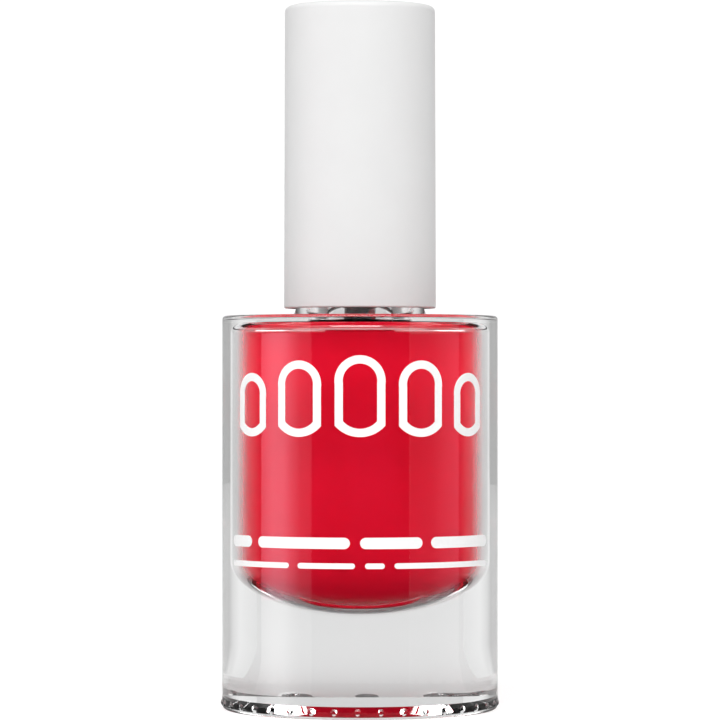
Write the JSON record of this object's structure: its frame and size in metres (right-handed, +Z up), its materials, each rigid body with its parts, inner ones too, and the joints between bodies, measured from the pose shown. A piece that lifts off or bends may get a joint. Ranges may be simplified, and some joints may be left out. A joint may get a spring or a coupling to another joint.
{
  "type": "nail polish bottle",
  "caption": "Round clear glass nail polish bottle with a heavy base, red polish, a tall plain white screw cap and a brush applicator inside.",
  "frame": {"origin": "centre of the base, on the plane the bottle stands on", "axes": "+Z up along the bottle's axis, -Y is the printed front"},
  "size_m": [0.0278, 0.0278, 0.0701],
  "materials": {
    "clear_glass": "polished clear",
    "red_polish": "wet gloss",
    "steel": "smooth",
    "white_ink": "screen print",
    "white_cap": "satin matte",
    "white_closure": "moulded",
    "foam_washer": "foam",
    "stem_plastic": "moulded",
    "bristles": "fine filaments"
  },
  "bodies": {
    "bottle": {"glass_bottle": "clear_glass", "nail_polish": "red_polish", "print_motif": "white_ink", "print_bars": "white_ink"},
    "mixing_balls": {"mixing_ball_left": "steel", "mixing_ball_right": "steel"},
    "washer": {"sealing_washer": "foam_washer"},
    "brush": {"brush_stem": "stem_plastic", "brush_staple": "steel", "brush_bristles": "bristles"},
    "cap": {"inner_cap": "white_closure", "cap_shell": "white_cap"}
  },
  "joints": [
    {"name": "applicator_withdraw", "type": "slide", "parent": "bottle", "child": "washer", "axis": [0, 0, 1], "range_m": [0, 0.054]},
    {"name": "cap_rise", "type": "slide", "parent": "washer", "child": "brush", "axis": [0, 0, 1], "range_m": [0, 0.00371]},
    {"name": "cap_turn", "type": "hinge", "parent": "brush", "child": "cap", "pos_m": [0, 0, 0.04], "axis": [0, 0, 1], "range_deg": [0, 630]},
    {"name": "ball_swirl", "type": "hinge", "parent": "bottle", "child": "mixing_balls", "pos_m": [0, 0, 0.011], "axis": [0, 0, 1], "continuous": true}
  ],
  "couplings": [
    {"joint": "cap_rise", "follows": "cap_turn", "m_per_rad": 0.00033693}
  ]
}
